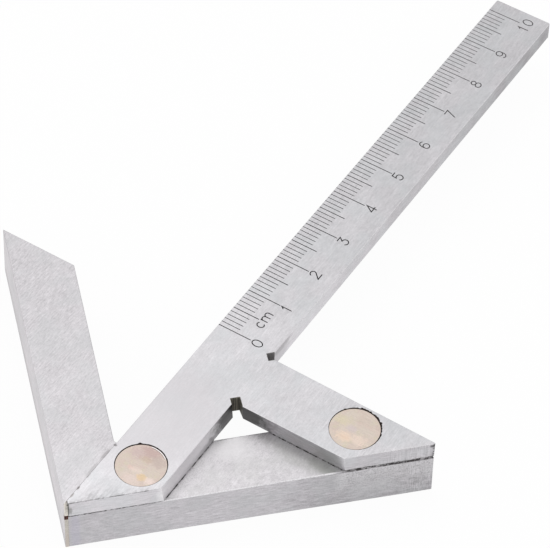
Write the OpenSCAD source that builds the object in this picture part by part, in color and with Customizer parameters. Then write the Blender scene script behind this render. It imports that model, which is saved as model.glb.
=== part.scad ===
// Centre-finding square.
// Two mitred steel bars make the stock, and their inner faces meet in a V of 90 degrees.
// The mitre's sharp points are cut off, and the left bar fills the outer corner.
// A plate blade, a graduated rule with a cross arm in one piece, lies in the step over
// the right-hand bar. Its working edge halves the V, so it crosses the centre of any
// round bar that is pushed against both inner faces. Two countersunk rivets hold it.
//
// Z points up and the stock stands on Z = 0. The working edge runs along +Y, and the
// origin is under the middle of the square's outline. Lengths are in millimetres.

/* [Stock] */
// Width of each leg, seen from above
leg_w = 11.5; // [10.5:0.1:16]
// Outer length of the left leg, from the outer corner to its tip
left_leg_l = 65.5; // [55:0.5:100]
// Outer length of the right leg, from the outer corner to its tip
right_leg_l = 67; // [60:0.5:100]
// Height of the stock, from its underside to the top of the blade
stock_h = 12.6; // [9:0.1:18]

/* [Blade] */
// Thickness of the blade, and depth of the step that it lies in
blade_t = 3.8; // [2.5:0.1:5]
// Width of the rule
rule_w = 12.2; // [11:0.1:16]
// Length of the rule from the stock's inner corner to its end
rule_reach = 136.3; // [80:0.1:250]
// Width of the cross arm
arm_w = 12; // [11:0.1:16]
// How far the points of blade and right leg stop short of the stock's outer corner
blunt = 0.7; // [0.2:0.1:1.5]

/* [Corner reliefs] */
// Width of the slots that clear the corners between rule and arm
relief_w = 1.7; // [1:0.1:3]
// Distance of each slot's middle line from its corner
relief_shift = 0.5; // [0:0.1:1]
// Depth of the inner slot past its corner
inner_relief = 0.9; // [0.3:0.1:1.5]
// Depth of the outer slot past its corner
outer_relief = 0.2; // [0.1:0.1:1]

/* [Scale] */
// Distance from the stock's inner corner to the zero line
scale_start = 33; // [32:0.5:50]
// Distance between neighbouring lines
division = 1; // [0.5:0.5:2]
// Least plain length between the last line and the end of the rule
end_margin = 3; // [1:0.5:10]
// Length of every tenth line
long_line = 7; // [3:0.1:9]
// Length of the lines half way between the tenth lines
middle_line = 5.6; // [2:0.1:8]
// Length of all other lines
short_line = 4.1; // [1:0.1:6]
// Width of the engraved lines
line_w = 0.2; // [0.1:0.05:0.3]
// Depth of the engraved lines
line_depth = 0.12; // [0.05:0.01:0.3]

/* [Rivets] */
// Diameter of the rivet heads, flush with the blade
head_d = 9.3; // [7:0.1:10]
// Height of the straight rim of the heads
head_rim = 0.5; // [0.2:0.1:1]
// Diameter of the shanks
shank_d = 6; // [4:0.1:6.5]
// Diameter of the closing heads, flush with the underside
foot_d = 8.4; // [7:0.1:10]
// Height of the straight rim of the closing heads
foot_rim = 0.4; // [0.2:0.1:1]
// Gap round the rivets in their countersunk holes
rivet_play = 0.06; // [0.02:0.01:0.1]
// Shift of the corner rivet along the leg from the rule's middle line
corner_rivet_shift = 0.4; // [0:0.1:0.8]
// Shift of the arm rivet along the leg from the arm's middle line
arm_rivet_shift = 1.2; // [0:0.1:1.5]
// Shift of the arm rivet behind the leg's middle line
arm_rivet_back = 0.4; // [0:0.05:0.4]

/* [Hidden] */
$fn = 96;
// overrun of every cut past the faces that it leaves through
over = 0.5;
// half of the V's right angle, and the turn from across the rule to along the right leg
half_v = 45;
leg_turn = 90 - half_v;
// height of the step in the right leg
bed_z = stock_h - blade_t;

// Places along the rule are measured from the stock's outer corner.
inner_corner = leg_w / sin(half_v);
rule_end = inner_corner + rule_reach;
arm_top = right_leg_l * cos(half_v);
arm_bottom = arm_top - arm_w;
scale_zero = inner_corner + scale_start;
lines = floor((rule_reach - scale_start - end_margin) / division);

// Places of the rivets along and behind the right leg's front face: on the middle line
// of the rule or the arm, and shifted along the leg from there
corner_rivet_y = leg_w / 2;
corner_rivet_x = (rule_w / 2 + corner_rivet_y * cos(half_v)) / sin(half_v);
arm_rivet_y = leg_w / 2 + arm_rivet_back;
arm_rivet_x = (arm_top - arm_w / 2 - arm_rivet_y * sin(half_v)) / cos(half_v);

// The mitre's outer end on either leg: the right leg's point is cut off square to its
// front face, and the left leg fills what is missing there.
mitre_end = [blunt, blunt * tan(half_v)];
right_mitre = [[blunt, 0], mitre_end];
left_mitre = [[0, 0], [blunt * cos(2 * half_v), blunt * sin(2 * half_v)], mitre_end];

// Middle of the outline's bounding box, measured from the outer corner
outline_mid = [(right_leg_l - left_leg_l) * sin(half_v) / 2, rule_end / 2, 0];

steel = [0.72, 0.71, 0.73];
rivet_metal = [0.82, 0.74, 0.64];

// Puts what is drawn from the outer corner, with Y along the rule, in its place.
module in_place() {
    translate(-outline_mid) children();
}

// The same for what is drawn with X along the right leg
module in_leg_axes() {
    in_place() rotate(leg_turn) children();
}

// Outline of a leg of outer length l that runs along X from its mitre, in line with the
// rule, to an end cut square to the rule
module leg_outline(l, mitre) {
    inner_side = [[leg_w / tan(half_v), leg_w], [l - leg_w * tan(half_v), leg_w]];
    polygon(concat(mitre, inner_side, [[l, 0]]));
}

// A rivet on the Z axis, larger all round by play: rim, cone and shank, then the
// cone and rim of the closing head
module rivet_form(play) {
    head_cone = (head_d - shank_d) / 2;
    foot_cone = (foot_d - shank_d) / 2;
    cylinder(d = shank_d + 2 * play, h = stock_h);
    translate([0, 0, stock_h - head_rim]) cylinder(d = head_d + 2 * play, h = head_rim);
    translate([0, 0, stock_h - head_rim - head_cone])
        cylinder(d1 = shank_d + 2 * play, d2 = head_d + 2 * play, h = head_cone);
    cylinder(d = foot_d + 2 * play, h = foot_rim);
    translate([0, 0, foot_rim])
        cylinder(d1 = foot_d + 2 * play, d2 = shank_d + 2 * play, h = foot_cone);
}

// The room of a rivet, open past the top and the underside
module rivet_room() {
    rivet_form(rivet_play);
    translate([0, 0, stock_h - head_rim]) cylinder(d = head_d + 2 * rivet_play, h = head_rim + over);
    translate([0, 0, -over]) cylinder(d = foot_d + 2 * rivet_play, h = foot_rim + over);
}

module at_corner_rivet() {
    in_leg_axes() translate([corner_rivet_x + corner_rivet_shift, corner_rivet_y]) children();
}

module at_arm_rivet() {
    in_leg_axes() translate([arm_rivet_x + arm_rivet_shift, arm_rivet_y]) children();
}

// Outline of rule and cross arm, with X across and Y along the rule
module blade_outline() {
    polygon([
        [blunt * sin(half_v), blunt * cos(half_v)],
        [rule_w, rule_w / tan(half_v)],
        [rule_w, arm_bottom],
        [arm_bottom * tan(half_v), arm_bottom],
        [arm_top * tan(half_v), arm_top],
        [rule_w, arm_top],
        [rule_w, rule_end],
        [0, rule_end],
        [0, blunt / cos(half_v)]
    ]);
}

// Relief slot, cut square to the legs from a corner of rule and arm: it ends depth
// past the corner and opens along the direction turn
module relief_slot(corner_y, depth, turn) {
    translate([rule_w, corner_y]) rotate(turn)
        translate([-depth, relief_shift - relief_w / 2]) square([relief_w + depth * 2, relief_w]);
}

// Engraved lines of the scale, from the working edge inwards
module scale_lines() {
    for (i = [0 : lines]) {
        l = i % 10 == 0 ? long_line : i % 5 == 0 ? middle_line : short_line;
        translate([-over, scale_zero + i * division - line_w / 2, stock_h - line_depth])
            cube([l + over, line_w, line_depth + over]);
    }
}

module left_leg() {
    color(steel) in_place() mirror([1, 0, 0]) rotate(leg_turn)
        linear_extrude(stock_h) leg_outline(left_leg_l, left_mitre);
}

module right_leg() {
    color(steel) difference() {
        in_leg_axes() linear_extrude(bed_z) leg_outline(right_leg_l, right_mitre);
        at_corner_rivet() rivet_room();
        at_arm_rivet() rivet_room();
    }
}

module blade() {
    color(steel) difference() {
        in_place() difference() {
            translate([0, 0, bed_z]) linear_extrude(blade_t) difference() {
                blade_outline();
                relief_slot(arm_bottom, inner_relief, -half_v);
                relief_slot(arm_top, outer_relief, leg_turn);
            }
            scale_lines();
        }
        at_corner_rivet() rivet_room();
        at_arm_rivet() rivet_room();
    }
}

module corner_rivet() {
    color(rivet_metal) at_corner_rivet() rivet_form(0);
}

module arm_rivet() {
    color(rivet_metal) at_arm_rivet() rivet_form(0);
}

left_leg();
right_leg();
blade();
corner_rivet();
arm_rivet();
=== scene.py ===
from functools import reduce
from math import pi, radians, sqrt

import bmesh
import bpy
import numpy as np
from mathutils import Euler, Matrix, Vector
from mathutils.geometry import delaunay_2d_cdt


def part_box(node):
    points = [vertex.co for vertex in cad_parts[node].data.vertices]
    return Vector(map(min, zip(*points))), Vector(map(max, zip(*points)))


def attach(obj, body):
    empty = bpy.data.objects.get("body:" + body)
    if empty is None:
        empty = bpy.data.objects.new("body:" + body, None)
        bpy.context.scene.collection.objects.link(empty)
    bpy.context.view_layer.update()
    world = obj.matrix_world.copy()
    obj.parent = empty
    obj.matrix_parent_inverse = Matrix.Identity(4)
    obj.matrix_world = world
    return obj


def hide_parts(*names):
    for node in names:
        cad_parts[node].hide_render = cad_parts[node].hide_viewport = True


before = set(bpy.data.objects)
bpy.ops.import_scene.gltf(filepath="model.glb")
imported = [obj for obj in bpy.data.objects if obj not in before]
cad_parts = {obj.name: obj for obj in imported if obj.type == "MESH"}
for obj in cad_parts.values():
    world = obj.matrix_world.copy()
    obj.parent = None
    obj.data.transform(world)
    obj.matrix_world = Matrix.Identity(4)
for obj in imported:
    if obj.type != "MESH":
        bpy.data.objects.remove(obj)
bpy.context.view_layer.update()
mm = 0.001  # sizes are written in millimetres, and meshes are made in metres

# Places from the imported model, in millimetres
low = {name: np.array(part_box(name)[0]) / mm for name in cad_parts}
high = {name: np.array(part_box(name)[1]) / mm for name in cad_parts}
corner = np.array([low["blade"][0], low["left_leg"][1]])  # the stock's outer corner, where the V's middle line starts
topZ = high["blade"][2]
bedZ = low["blade"][2]
ruleEnd = high["blade"][1] - corner[1]
armTop = high["right_leg"][0] - corner[0]  # the legs' ends are at 45 degrees: they reach as far along as across
leftTip = corner[0] - low["left_leg"][0]
print("frame loaded, outer corner at", corner.round(3))


# Geometry by whole arrays

def unit(v):  # each vector over its own length
    return v / np.linalg.norm(v, axis=-1, keepdims=True)


def leftOf(v):  # each vector turned a quarter turn to the left
    return np.stack([-v[..., 1], v[..., 0]], -1)


# Every corner gives way to an arc that touches both of its sides: it starts radius times tan(turn / 2) before the
# corner, and its points turn evenly about its centre. The result has one row of points for each corner.
def roundCorners(corners, radius, steps=6):
    before = unit(corners - np.roll(corners, 1, 0))
    after = np.roll(before, -1, 0)
    turn = np.arctan2(np.sum(leftOf(before) * after, 1), np.sum(before * after, 1))
    radius = np.broadcast_to(radius, turn.shape)
    spoke = -leftOf(before) * (np.sign(turn) * radius)[:, None]
    centre = corners - before * (radius * np.tan(np.abs(turn) / 2))[:, None] - spoke
    angle = (turn[:, None] * np.linspace(0, 1, steps + 1))[..., None]
    return centre[:, None] + spoke[:, None] * np.cos(angle) + leftOf(spoke)[:, None] * np.sin(angle)


# Each point moves along the bisector of its two sides, so that both sides move inwards by distance.
def insetOutline(outline, distance):
    before = leftOf(unit(outline - np.roll(outline, 1, 0)))
    after = np.roll(before, -1, 0)
    share = distance / (1 + np.sum(before * after, 1))
    return outline + (before + after) * share[:, None]


# Distance of every point from the foot of its perpendicular on each segment, kept on the segment, as a share of that
# segment's reach: the least of them all.
def segmentDistance(points, segments, reach):
    start, along = segments[:, 0], segments[:, 1] - segments[:, 0]
    offset = points[:, None] - start
    share = np.clip(np.sum(offset * along, -1) / np.sum(along * along, -1), 0, 1)
    return (np.linalg.norm(offset - share[..., None] * along, axis=-1) / reach).min(1)


# A point is inside the loops if a line from it to the right crosses their sides an odd number of times.
def insideLoops(points, loops):
    a = np.concatenate(loops)
    b = np.concatenate([np.roll(loop, -1, 0) for loop in loops])
    x, y = points[:, :1], points[:, 1:2]
    spans = (a[:, 1] > y) != (b[:, 1] > y)
    rise = np.where(b[:, 1] == a[:, 1], 1, b[:, 1] - a[:, 1])
    return np.sum(spans & (x < a[:, 0] + (y - a[:, 1]) * (b[:, 0] - a[:, 0]) / rise), 1) % 2 == 1


# A flat face between closed loops, with open lines drawn into it: a constrained triangulation, of which the
# triangles whose middle is inside the loops stay.
def fillLoops(loops, lines=()):
    points, edges, count = [], [], 0
    for line, closed in [(loop, True) for loop in loops] + [(line, False) for line in lines]:
        index = count + np.arange(len(line))
        points.append(line)
        edges.append(np.stack([index, np.roll(index, -1)], 1)[: len(line) if closed else -1])
        count += len(line)
    flat, _, triangles, *_ = delaunay_2d_cdt(
        list(map(Vector, np.concatenate(points).tolist())), np.concatenate(edges).tolist(), [], 0, 1e-5
    )
    flat, triangles = np.array([tuple(p) for p in flat]), np.array(triangles)
    return flat, triangles[insideLoops(flat[triangles].mean(1), loops)]


# Rows of points joined into quads, closed round each row. Rows that go up along a loop that runs to the left
# give faces that point outwards.
def joinRows(rows):
    count = rows.shape[1]
    i = np.arange(len(rows) - 1)[:, None] * count + np.arange(count)
    j = np.roll(i, -1, 1)
    return np.stack([i, j, j + count, i + count], -1).reshape(-1, 4)


# Rows of an edge worn to a quarter circle: how far each row is inset and how far it is from the flat face,
# both as shares of the edge's radius.
def edgeRows(steps=4):
    angle = np.linspace(0, pi / 2, steps + 1)
    return 1 - np.sin(angle), 1 - np.cos(angle)


def atHeight(flat, z):  # points of the plane at one height, or at one each
    return np.column_stack([flat, np.broadcast_to(z, len(flat))])


def fromCorner(x, y):  # places in the plane by their distances from the outer corner
    return corner + np.stack(np.broadcast_arrays(x, y), -1)


mergeReach = 0.0004  # points closer than this become one
sharpAngle = 10  # an edge that turns by more than this, in degrees, isn't shaded smooth


def addObject(name, data):
    thing = bpy.data.objects.new(name, data)
    bpy.context.scene.collection.objects.link(thing)
    return thing


class Shell:  # points and faces of one piece, gathered before they go into its mesh
    def __init__(self):
        self.points, self.faces, self.kinds, self.count = [], [], [], 0

    def add(self, points, faces, kind=0):
        self.points.append(points)
        self.faces.append((faces + self.count).tolist())
        self.kinds.append(np.broadcast_to(kind, len(faces)))
        self.count += len(points)

    def addRows(self, rows, kind=0, turn=1):  # turn is -1 for the wall of a hole
        self.add(rows.reshape(-1, 3), joinRows(rows)[:, ::turn], kind)

    def addEnd(self, row, turn, kind=0, holes=()):  # fills one row of points, facing up for turn 1 and down for -1
        flat, triangles = fillLoops([row[:, :2], *holes])
        self.add(atHeight(flat, row[0, 2]), triangles[:, ::turn], kind)

    # Every point gathered so far moves in the plane by a function of its place from the outer corner.
    def lean(self, move):
        for points in self.points:
            points[:, :2] += move(*(points - [*corner, 0]).T)

    # Puts the shell into a mesh, merges what coincides, and rides it on the part's body. Its last argument is a
    # function that gives each point, in millimetres, a value from -1, a painted highlight, to 1, dark with dirt and
    # painted shade.
    def finish(self, name, nodes, slot, materials, wear):
        mesh = bpy.data.meshes.new(name)
        faces = [face for group in self.faces for face in group]
        mesh.from_pydata(np.concatenate(self.points) * mm, [], faces)
        mesh.polygons.foreach_set("material_index", np.concatenate(self.kinds).astype(np.int32))
        for material in materials:
            mesh.materials.append(material)
        shell = bmesh.new()
        shell.from_mesh(mesh)
        bmesh.ops.remove_doubles(shell, verts=shell.verts, dist=mergeReach * mm)
        bmesh.ops.dissolve_degenerate(shell, edges=shell.edges, dist=mergeReach / 2 * mm)
        shell.to_mesh(mesh)
        shell.free()
        places = np.empty(len(mesh.vertices) * 3, np.float32)
        mesh.vertices.foreach_get("co", places)
        places = places.reshape(-1, 3) / mm
        value = np.clip(wear(places), -1, 1)
        mesh.attributes.new("wear", "FLOAT", "POINT").data.foreach_set("value", value.astype(np.float32))
        mesh.polygons.foreach_set("use_smooth", np.ones(len(mesh.polygons), bool))
        mesh.set_sharp_from_angle(angle=radians(sharpAngle))
        piece = addObject(name, mesh)
        normals = piece.modifiers.new("flat faces keep their own shading", "WEIGHTED_NORMAL")
        normals.keep_sharp = True
        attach(piece, "root")
        if nodes:
            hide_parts(*nodes)
        print(f"{name}: {len(mesh.polygons)} faces")


edgeBand = 0.12  # a row of points this close to each edge keeps the edge's dirt, painted shade and painted highlight from spreading over the wall


def noCut(flat):  # for a plain top face
    return np.full(len(flat), np.inf)


def sameKind(middles, kinds):
    return kinds


# A plate or bar: its outline is carried up from z0 to z1, with both edges worn to quarter circles, and both ends
# are filled. Holes are closed loops, and their walls are added apart. Lines are drawn into the top, which is no
# higher than topHeight. FaceKind picks each face's material by the face's middle.
def addPlate(shell, outline, z0, z1, lowerEdge, upperEdge, holes=(), topHoles=(), lines=(), topHeight=noCut,
             wallKind=0, faceKind=sameKind):
    lowerEdge = np.broadcast_to(lowerEdge, len(outline))
    upperEdge = np.broadcast_to(upperEdge, len(outline))
    inwards, away = edgeRows()
    rings = [atHeight(insetOutline(outline, lowerEdge * i), z0 + lowerEdge * a) for i, a in zip(inwards, away)]
    rings += [atHeight(outline, z0 + lowerEdge + edgeBand), atHeight(outline, z1 - upperEdge - edgeBand)]
    rings += [atHeight(insetOutline(outline, upperEdge * i), z1 - upperEdge * a)
              for i, a in zip(inwards[::-1], away[::-1])]
    rings = np.array(rings)
    upper = rings[len(inwards) + 2:]
    upper[..., 2] = np.minimum(upper[..., 2], topHeight(upper[..., :2].reshape(-1, 2)).reshape(upper.shape[:2]))

    def addFaces(points, faces, kinds):
        shell.add(points, faces, faceKind(points[faces].mean(1), kinds))

    walls = np.tile(np.broadcast_to(wallKind, len(outline)), len(rings) - 1)
    addFaces(rings.reshape(-1, 3), joinRows(rings), walls)
    shell.addEnd(rings[0], -1, holes=holes)
    flat, triangles = fillLoops([rings[-1, :, :2], *topHoles], lines)
    addFaces(atHeight(flat, np.minimum(z1, topHeight(flat))), triangles, np.zeros(len(triangles), int))


def circle(centre, radius, sides=72):  # evenly spaced points, to the left
    angle = np.arange(sides) * 2 * pi / sides
    return centre + radius * np.column_stack([np.cos(angle), np.sin(angle)])


# A profile of (radius, z) pairs turned about an upright axis.
def turnProfile(profile, centre, sides=72):
    return np.array([atHeight(circle(centre, r, sides), z) for r, z in profile])


# Places in the stock: along a leg from the outer corner and behind its outer face, side 1 right and -1 left
def legPoint(along, behind, side=1):
    return corner + np.stack([side * (np.asarray(along) - behind), np.asarray(along) + behind], -1) / sqrt(2)


# The other way round, for the right leg: how far points lie along its front face and behind it
def inLeg(points):
    x, y = (points[:, :2] - corner).T
    return (x + y) / sqrt(2), (y - x) / sqrt(2)


# Wear round a line: a falling ramp from 1 at the line to 0 at reach
def near(distance, reach):
    return np.clip(1 - np.abs(distance) / reach, 0, 1)


# Materials

def feed(tree, node, values):  # values are sockets to link or constants to set
    for key, value in dict(values).items():
        if isinstance(value, bpy.types.NodeSocket):
            tree.links.new(value, node.inputs[key])
        else:
            node.inputs[key].default_value = value


def addNode(tree, kind, values=(), **settings):
    node = tree.nodes.new(kind)
    for key, value in settings.items():
        setattr(node, key, value)
    feed(tree, node, values)
    return node


def newMaterial(name):
    material = bpy.data.materials.new(name)
    material.use_nodes = True
    tree = material.node_tree
    tree.nodes.clear()
    shader = addNode(tree, "ShaderNodeBsdfPrincipled")
    addNode(tree, "ShaderNodeOutputMaterial", {"Surface": shader.outputs[0]})
    return material, tree, shader


def linearColour(rgb):  # screen colour from 0 to 255 as light
    c = np.array(rgb) / 255
    return (*np.where(c > 0.04045, ((c + 0.055) / 1.055) ** 2.4, c / 12.92), 1)


def objectPlace(tree):
    return addNode(tree, "ShaderNodeTexCoord").outputs["Object"]


def axisOf(tree, vector, axis):
    return addNode(tree, "ShaderNodeSeparateXYZ", {"Vector": vector}).outputs[axis]


# Noise on the object's own coordinates, in millimetres, drawn out along each axis by grain
def grainNoise(tree, grain, detail=3):
    spread = addNode(tree, "ShaderNodeMapping", {"Vector": objectPlace(tree), "Scale": [1 / (g * mm) for g in grain]})
    noise = addNode(tree, "ShaderNodeTexNoise",
                    {"Vector": spread.outputs[0], "Scale": 1, "Detail": detail, "Roughness": 0.6})
    return noise.outputs["Fac"]


def remap(tree, value, fromLow, fromHigh, toLow=0, toHigh=1):
    return addNode(tree, "ShaderNodeMapRange", {"Value": value, "From Min": fromLow, "From Max": fromHigh,
                                                "To Min": toLow, "To Max": toHigh}).outputs[0]


def swing(tree, noise, low, high):  # a noise's usual values, 0.3 to 0.7, spread from low to high
    return remap(tree, noise, 0.3, 0.7, low, high)


def blendColours(tree, share, first, second, kind="MIX"):  # a tuple is a screen colour
    first, second = (linearColour(c) if isinstance(c, tuple) else c for c in (first, second))
    return addNode(tree, "ShaderNodeMix", {0: share, 6: first, 7: second},
                   data_type="RGBA", blend_type=kind).outputs[2]


def blendValues(tree, share, first, second):
    return addNode(tree, "ShaderNodeMix", {0: share, 2: first, 3: second}, data_type="FLOAT").outputs[0]


def calculate(tree, operation, first, second=0, clamp=False):
    return addNode(tree, "ShaderNodeMath", {0: first, 1: second}, operation=operation, use_clamp=clamp).outputs[0]


def product(tree, *factors):
    return reduce(lambda a, b: calculate(tree, "MULTIPLY", a, b), factors)


def total(tree, *parts):
    return reduce(lambda a, b: calculate(tree, "ADD", a, b), parts)


def timesTone(tree, colour, tone):  # every channel of a colour times the tone
    grey = addNode(tree, "ShaderNodeCombineColor", {"Red": tone, "Green": tone, "Blue": tone}).outputs[0]
    return blendColours(tree, 1, colour, grey, "MULTIPLY")


def wearTimes(tree, factor):  # the attribute of dirt, painted shade and painted highlights times a factor, and no less than 0
    wear = addNode(tree, "ShaderNodeAttribute", attribute_name="wear").outputs["Fac"]
    return calculate(tree, "MAXIMUM", product(tree, wear, factor))


# A metal's surface, with the height turned into grooves of a depth in millimetres
def finishSurface(tree, shader, colour, roughness, metallic, height, depth):
    bump = addNode(tree, "ShaderNodeBump", {"Height": height, "Distance": depth * mm, "Strength": 1})
    feed(tree, shader, {"Base Color": colour, "Roughness": roughness, "Metallic": metallic, "Normal": bump.outputs[0]})


# A patch's share: full within half of its reach from its place, and falling to nothing at its reach. The noise fray
# moves its border in and out.
def stainShare(tree, place, at, reach, strength, fray):
    gap = addNode(tree, "ShaderNodeVectorMath", {0: place, 1: [c * mm for c in at]}, operation="SUBTRACT").outputs[0]
    spread = addNode(tree, "ShaderNodeVectorMath", {0: gap, 1: [1 / (r * mm) for r in reach]},
                     operation="MULTIPLY").outputs[0]
    length = addNode(tree, "ShaderNodeVectorMath", {0: spread}, operation="LENGTH").outputs["Value"]
    return remap(tree, total(tree, length, fray), 0.5, 1, strength, 0)


steelGrain = {  # size of each pattern's grain along X, Y and Z, and its octaves of detail
    "topScratch": (0.16, 7, 0.16, 1),
    "sideScratch": (9, 9, 0.16, 1),
    "speckle": (0.26, 0.26, 0.26, 2),
    "mottle": (1.1, 1.5, 1.1, 2),
    "clouds": (7, 11, 7, 3),
    "tints": (5, 5, 5, 1),
    "hatch": (0.15, 0.15, 4, 2),
    "patchFray": (0.9, 0.9, 0.9, 3),
    "dirtAndShadeGaps": (0.5, 1.4, 0.5, 2),
}
noiseRange = {  # values of a pattern's noise between which it rises from nothing to its full strength
    "hatch": (0.35, 0.65),
    "scratches": (0.6, 0.68),
    "tints": (0.42, 0.62),
    "dirtAndShadeGaps": (0.38, 0.6),
    "shineGaps": (0.35, 0.55),
    "pink": (0.4, 0.6),
    "straw": (0.52, 0.68),
}
steel = {
    "facesUp": (0.6, 0.8),  # the normal's slant, level to upright, between which a face goes from side to top
    "underside": (-0.95, -0.8),  # and between which dirt and painted shade begin
    "clouds": (0.94, 1.04),
    "fray": 0.12,  # how far a patch's border moves, as a share of its reach
    "leastShine": 0.4,
    "dull": (0.6, 0.9),  # how much less metallic full dirt with painted shade, and a full painted highlight, are
    "highlightColour": (246, 244, 246),  # the colour of a painted highlight on an edge
}


# Fine dashes of the grinding, drawn out along the rule on what faces up and level on the sides, sparse longer
# scratches, speckle, mottle, soft clouds of tone and a cool tint in patches: the tone is the sum of them. The sides are
# hatched upright from one place on X to another, and change tone along an axis. The attribute turns the steel dark with
# dirt and painted shade where it is above zero, and bright with a painted highlight where it is below, each broken up
# by a noise; undersides stay clean.
def groundSteel(look):
    material, tree, shader = newMaterial(look["name"])

    def pattern(name):
        *grain, detail = steelGrain[name]
        return grainNoise(tree, grain, detail)

    place = objectPlace(tree)
    tilt = axisOf(tree, addNode(tree, "ShaderNodeNewGeometry").outputs["Normal"], "Z")
    facesUp = remap(tree, calculate(tree, "ABSOLUTE", tilt), *steel["facesUp"])
    isSide = calculate(tree, "SUBTRACT", 1, facesUp)
    fine, topDash, sideDash = look["grain"], look["topDash"], look["sideDash"]
    dashes = blendValues(tree, facesUp, grainNoise(tree, (sideDash, sideDash, fine)),
                         grainNoise(tree, (fine, topDash, fine)))
    scratches = blendValues(tree, facesUp, pattern("sideScratch"), pattern("topScratch"))
    speckle = pattern("speckle")
    start, end, strength = look["hatch"]
    hatched = remap(tree, axisOf(tree, place, "X"), start * mm, end * mm)
    upright = remap(tree, pattern("hatch"), *noiseRange["hatch"], -strength, strength)
    parts = [swing(tree, speckle, -look["speckle"], look["speckle"]),
             swing(tree, pattern("mottle"), -look["mottle"], look["mottle"]),
             product(tree, swing(tree, dashes, -1, 1), blendValues(tree, facesUp, *look["dashes"])),
             remap(tree, scratches, *noiseRange["scratches"], 0, look["scratches"]),
             product(tree, isSide, hatched, upright)]
    for axis, first, last, change in look["sideTones"]:
        share = remap(tree, axisOf(tree, place, axis), first * mm, last * mm, 0, change)
        parts.append(product(tree, isSide, share))
    tone = total(tree, swing(tree, pattern("clouds"), *steel["clouds"]), *parts)

    colour = timesTone(tree, blendColours(tree, facesUp, look["side"], look["top"]), tone)
    tints = remap(tree, pattern("tints"), *noiseRange["tints"], 0, look["tint"])
    colour = blendColours(tree, tints, colour, look["coolTint"])
    fray = swing(tree, pattern("patchFray"), -steel["fray"], steel["fray"])
    for at, reach, strength, patchColour, onSide in look["patches"]:
        share = product(tree, stainShare(tree, place, at, reach, strength, fray), isSide if onSide else facesUp)
        colour = blendColours(tree, share, colour, patchColour)
    broken = remap(tree, pattern("dirtAndShadeGaps"), *noiseRange["dirtAndShadeGaps"], *look["broken"])
    # dirt and painted shade where the attribute is above zero
    dirtAndShade = calculate(tree, "MULTIPLY", wearTimes(tree, 1), broken, True)
    dirtAndShade = product(tree, dirtAndShade, remap(tree, tilt, *steel["underside"]))
    # a painted highlight where the attribute is below zero
    gaps = remap(tree, speckle, *noiseRange["shineGaps"], steel["leastShine"], 1)
    shine = calculate(tree, "MULTIPLY", wearTimes(tree, -1), gaps, True)
    colour = blendColours(tree, shine, colour, steel["highlightColour"])
    colour = blendColours(tree, dirtAndShade, colour, look["dirtAndShadeColour"])
    dull = total(tree, *(product(tree, coat, share) for coat, share in zip((dirtAndShade, shine), steel["dull"])))
    finishSurface(tree, shader, colour, swing(tree, dashes, *look["roughness"]),
                  calculate(tree, "SUBTRACT", look["metallic"], dull, True),
                  total(tree, dashes, scratches), look["depth"])
    return material


def darkFill(look):  # a matt dark coat, mottled at its own grain: the scale's paint, the pit's rust, painted shade in the relief slots, and painted shade with dirt round the rivet heads
    material, tree, shader = newMaterial(look["name"])
    mottle = grainNoise(tree, look["grain"])
    colour = blendColours(tree, swing(tree, mottle, 0, 1), look["dark"], look["light"])
    if "worn" in look:  # it turns to another colour between two places along the rule: the paint fades, and the slots' painted shade turns lighter
        first, last, share, worn = look["worn"]
        along = remap(tree, axisOf(tree, objectPlace(tree), "Y"), first * mm, last * mm, 0, share)
        colour = blendColours(tree, along, colour, worn)
    feed(tree, shader, {"Base Color": colour, "Roughness": swing(tree, mottle, 0.5, 0.75), "Specular IOR Level": 0.25})
    return material


# Each patch: its place, its reach along X, Y and Z, its strength and colour, and whether it lies on the sides. Most are
# stains; those that paint light or shade are marked where they are listed
seamDashes = [  # dirt that is left in the seam between left leg and blade
    ((-0.42, -60.6, topZ), (0.4, 0.34, 0.5), 0.75, (120, 116, 118), False),
    ((-0.72, -63.3, topZ), (0.42, 1.7, 0.5), 0.6, (150, 147, 148), False),
    ((-0.75, -67.2, topZ), (0.4, 2.2, 0.5), 0.45, (164, 161, 162), False),
    ((-0.5, -68.6, topZ), (0.2, 0.9, 0.5), 0.4, (150, 145, 144), False),
    ((-0.45, -71.96, topZ), (0.24, 0.6, 0.5), 0.8, (116, 110, 108), False),
    ((-0.43, -73.9, topZ), (0.26, 0.8, 0.5), 0.6, (134, 124, 118), False),
]
steelLook = {
    "tint": 0.25, "sideDash": 1.8, "mottle": 0.03, "scratches": 0.06, "metallic": 1, "broken": (0.1, 1.2),
    "sideTones": [], "patches": [],
}
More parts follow.
